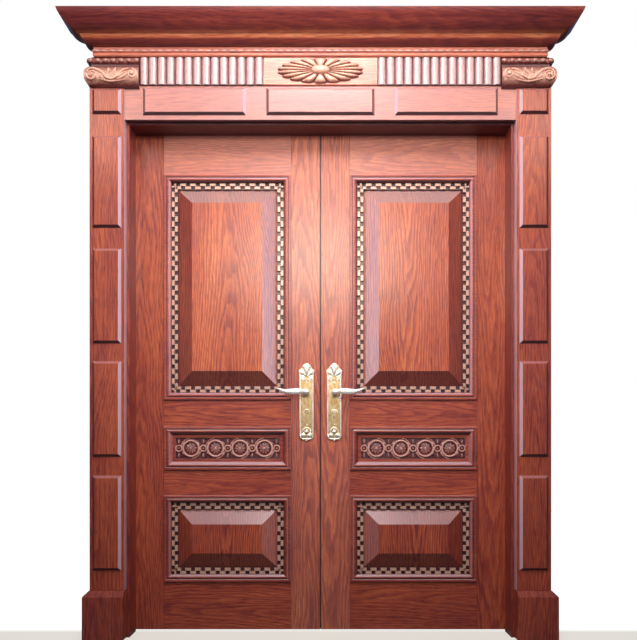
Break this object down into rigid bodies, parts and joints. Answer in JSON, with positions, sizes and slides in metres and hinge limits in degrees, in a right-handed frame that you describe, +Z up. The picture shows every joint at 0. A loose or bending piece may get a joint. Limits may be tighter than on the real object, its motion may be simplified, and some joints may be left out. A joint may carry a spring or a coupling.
{
  "type": "double door",
  "caption": "Panelled oak double door with lever handles, in a moulded surround with a carved frieze and a crown cornice.",
  "frame": {"origin": "centre of the bounding box in plan, at floor level", "axes": "+Z up, -Y out of the front, towards someone facing the door, and +X to that person's right"},
  "size_m": [2.052, 0.408, 2.478],
  "materials": {
    "oak": "satin",
    "brass": "polished",
    "steel": "brushed"
  },
  "bodies": {
    "frame": {"left_jamb": "oak", "right_jamb": "oak", "head_jamb": "oak", "left_pilaster": "oak", "right_pilaster": "oak", "left_plinth": "oak", "right_plinth": "oak", "left_capital": "oak", "right_capital": "oak", "head_casing": "oak", "frieze": "oak", "rosette": "oak", "bed_moulding": "oak", "cornice": "oak", "left_rear_casing": "oak", "right_rear_casing": "oak", "head_rear_casing": "oak", "jamb_hinges": "brass"},
    "left_leaf": {"left_hinge_stile": "oak", "left_meeting_stile": "oak", "left_top_rail": "oak", "left_lock_rail": "oak", "left_cross_rail": "oak", "left_bottom_rail": "oak", "left_upper_panel": "oak", "left_carved_panel": "oak", "left_lower_panel": "oak", "left_upper_moulding": "oak", "left_carved_moulding": "oak", "left_lower_moulding": "oak", "left_leaf_hinges": "brass", "left_front_plate": "brass", "left_back_plate": "brass", "strike_plate": "brass", "flush_bolt_plates": "brass"},
    "right_leaf": {"right_hinge_stile": "oak", "right_meeting_stile": "oak", "right_top_rail": "oak", "right_lock_rail": "oak", "right_cross_rail": "oak", "right_bottom_rail": "oak", "right_upper_panel": "oak", "right_carved_panel": "oak", "right_lower_panel": "oak", "right_upper_moulding": "oak", "right_carved_moulding": "oak", "right_lower_moulding": "oak", "right_leaf_hinges": "brass", "right_front_plate": "brass", "right_back_plate": "brass", "lock_case": "steel", "lock_cylinder": "brass"},
    "left_lever": {"left_front_lever": "brass", "left_back_lever": "brass"},
    "right_lever": {"right_front_lever": "brass", "right_back_lever": "brass"},
    "latch": {"latch_bolt": "brass"},
    "dead_bolt": {"dead_bolt": "brass"},
    "top_bolt": {"top_flush_bolt": "brass"},
    "bottom_bolt": {"bottom_flush_bolt": "brass"}
  },
  "joints": [
    {"name": "left_leaf_hinge", "type": "hinge", "parent": "frame", "child": "left_leaf", "pos_m": [-0.7865, 0.1505, 1.05], "axis": [0, 0, 1], "range_deg": [0, 110]},
    {"name": "right_leaf_hinge", "type": "hinge", "parent": "frame", "child": "right_leaf", "pos_m": [0.7865, 0.1505, 1.05], "axis": [0, 0, -1], "range_deg": [0, 110]},
    {"name": "left_lever_turn", "type": "hinge", "parent": "left_leaf", "child": "left_lever", "pos_m": [-0.058, 0.113, 1.004], "axis": [0, -1, 0], "range_deg": [0, 40], "stiffness_Nm_per_rad": 1, "springref_deg": -57.3},
    {"name": "right_lever_turn", "type": "hinge", "parent": "right_leaf", "child": "right_lever", "pos_m": [0.058, 0.113, 1.004], "axis": [0, 1, 0], "range_deg": [0, 40], "stiffness_Nm_per_rad": 1, "springref_deg": -57.3},
    {"name": "latch_slide", "type": "slide", "parent": "right_leaf", "child": "latch", "axis": [1, 0, 0], "range_m": [0, 0.0121]},
    {"name": "dead_bolt_slide", "type": "slide", "parent": "right_leaf", "child": "dead_bolt", "axis": [-1, 0, 0], "range_m": [0, 0.02]},
    {"name": "top_bolt_slide", "type": "slide", "parent": "left_leaf", "child": "top_bolt", "axis": [0, 0, 1], "range_m": [0, 0.02]},
    {"name": "bottom_bolt_slide", "type": "slide", "parent": "left_leaf", "child": "bottom_bolt", "axis": [0, 0, -1], "range_m": [0, 0.02]}
  ],
  "couplings": [
    {"joint": "latch_slide", "follows": "right_lever_turn", "m_per_rad": 0.017189}
  ]
}
